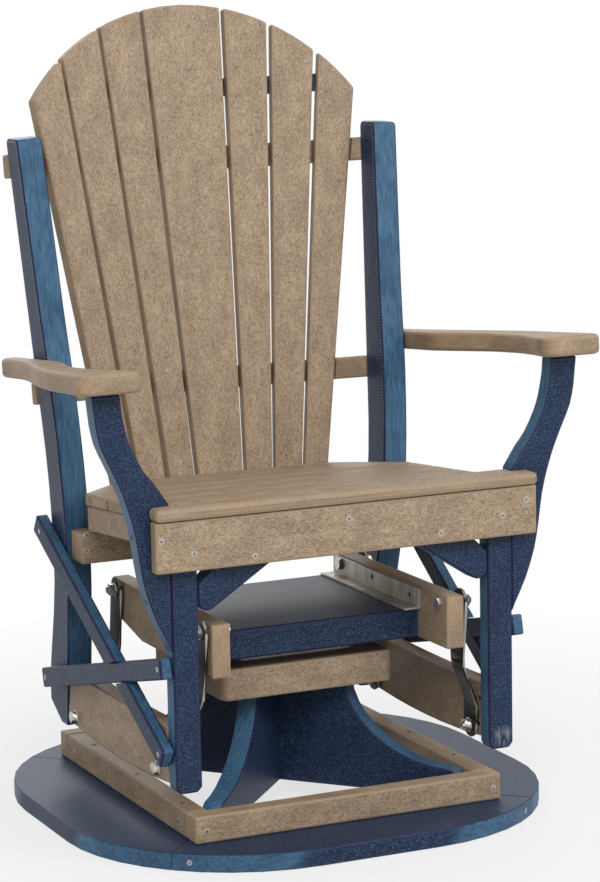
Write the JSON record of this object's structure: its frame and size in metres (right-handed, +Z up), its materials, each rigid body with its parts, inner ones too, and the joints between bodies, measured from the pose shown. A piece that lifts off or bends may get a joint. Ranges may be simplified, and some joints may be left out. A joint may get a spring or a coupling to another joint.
{
  "type": "swivel glider chair",
  "caption": "Outdoor armchair of poly lumber with a fan back, hung on flat steel links from rails on a platform that swivels on a pedestal and a ring base",
  "frame": {"origin": "On the floor, on the axis of the swivel, in the middle of the ring base.", "axes": "+Z is up and -Y is the front that the sitter faces; +X is the chair's own right in a view from the front."},
  "size_m": [0.7718, 0.704, 1.1295],
  "materials": {
    "tan_poly_lumber": "speckled tan boards with eased edges and a faint grain",
    "navy_poly_lumber": "speckled navy boards with eased edges and a faint grain",
    "zinc_plated_steel": "dull zinc plating on pressed plates",
    "dark_coated_steel": "dark grey coating on cut and bent flat steel"
  },
  "bodies": {
    "base": {"base_rail_front": "tan_poly_lumber", "base_rail_left": "tan_poly_lumber", "base_rail_rear": "tan_poly_lumber", "base_rail_right": "tan_poly_lumber", "base_ring_front": "navy_poly_lumber", "base_ring_left": "navy_poly_lumber", "base_ring_rear": "navy_poly_lumber", "base_ring_right": "navy_poly_lumber", "bearing_plate_lower": "zinc_plated_steel", "pedestal_panel_a": "navy_poly_lumber", "pedestal_panel_b": "navy_poly_lumber", "swivel_block": "tan_poly_lumber"},
    "platform": {"bearing_plate_upper": "zinc_plated_steel", "platform_board": "navy_poly_lumber", "hanger_rail_left": "tan_poly_lumber", "hanger_rail_right": "tan_poly_lumber", "hanger_angle_left": "dark_coated_steel", "hanger_angle_right": "dark_coated_steel"},
    "front_left_link": {"link_front_left": "dark_coated_steel"},
    "front_right_link": {"link_front_right": "dark_coated_steel"},
    "rear_left_link": {"link_rear_left": "dark_coated_steel"},
    "rear_right_link": {"link_rear_right": "dark_coated_steel"},
    "chair": {"apron": "tan_poly_lumber", "arm_left": "tan_poly_lumber", "arm_right": "tan_poly_lumber", "arm_support_left": "navy_poly_lumber", "arm_support_right": "navy_poly_lumber", "back_rail_foot": "tan_poly_lumber", "back_rail_middle": "tan_poly_lumber", "back_rail_top": "navy_poly_lumber", "back_rail_upper": "tan_poly_lumber", "back_slat_1": "tan_poly_lumber", "back_slat_2": "tan_poly_lumber", "back_slat_3": "tan_poly_lumber", "back_slat_4": "tan_poly_lumber", "back_slat_5": "tan_poly_lumber", "back_slat_6": "tan_poly_lumber", "back_slat_7": "tan_poly_lumber", "brace_bar_high_left": "navy_poly_lumber", "brace_bar_high_right": "navy_poly_lumber", "brace_bar_low_left": "navy_poly_lumber", "brace_bar_low_right": "navy_poly_lumber", "corner_brace_left": "navy_poly_lumber", "corner_brace_right": "navy_poly_lumber", "cross_rail": "tan_poly_lumber", "front_leg_left": "navy_poly_lumber", "front_leg_right": "navy_poly_lumber", "front_slat": "tan_poly_lumber", "lower_rail_left": "tan_poly_lumber", "lower_rail_right": "tan_poly_lumber", "rear_post_left": "navy_poly_lumber", "rear_post_right": "navy_poly_lumber", "seat_slat_1": "tan_poly_lumber", "seat_slat_2": "tan_poly_lumber", "seat_slat_3": "tan_poly_lumber", "seat_slat_4": "tan_poly_lumber", "seat_slat_rear": "tan_poly_lumber", "seat_support_left": "tan_poly_lumber", "seat_support_right": "tan_poly_lumber"}
  },
  "joints": [
    {"name": "swivel", "type": "hinge", "parent": "base", "child": "platform", "pos_m": [0, 0, 0.2345], "axis": [0, 0, 1], "continuous": true},
    {"name": "glide", "type": "hinge", "parent": "platform", "child": "front_left_link", "pos_m": [-0.1969, -0.212, 0.305], "axis": [1, 0, 0], "range_deg": [-12, 12]},
    {"name": "chair_hang", "type": "hinge", "parent": "front_left_link", "child": "chair", "pos_m": [-0.2243, -0.187, 0.1175], "axis": [1, 0, 0], "range_deg": [-12, 12]},
    {"name": "front_right_hang", "type": "hinge", "parent": "platform", "child": "front_right_link", "pos_m": [0.1969, -0.212, 0.305], "axis": [1, 0, 0], "range_deg": [-12, 12]},
    {"name": "rear_left_hang", "type": "hinge", "parent": "platform", "child": "rear_left_link", "pos_m": [-0.1969, 0.101, 0.305], "axis": [1, 0, 0], "range_deg": [-12, 12]},
    {"name": "rear_right_hang", "type": "hinge", "parent": "platform", "child": "rear_right_link", "pos_m": [0.1969, 0.101, 0.305], "axis": [1, 0, 0], "range_deg": [-12, 12]}
  ],
  "couplings": [
    {"joint": "chair_hang", "follows": "glide", "ratio": -1},
    {"joint": "front_right_hang", "follows": "glide", "ratio": 1},
    {"joint": "rear_left_hang", "follows": "glide", "ratio": 1},
    {"joint": "rear_right_hang", "follows": "glide", "ratio": 1}
  ]
}
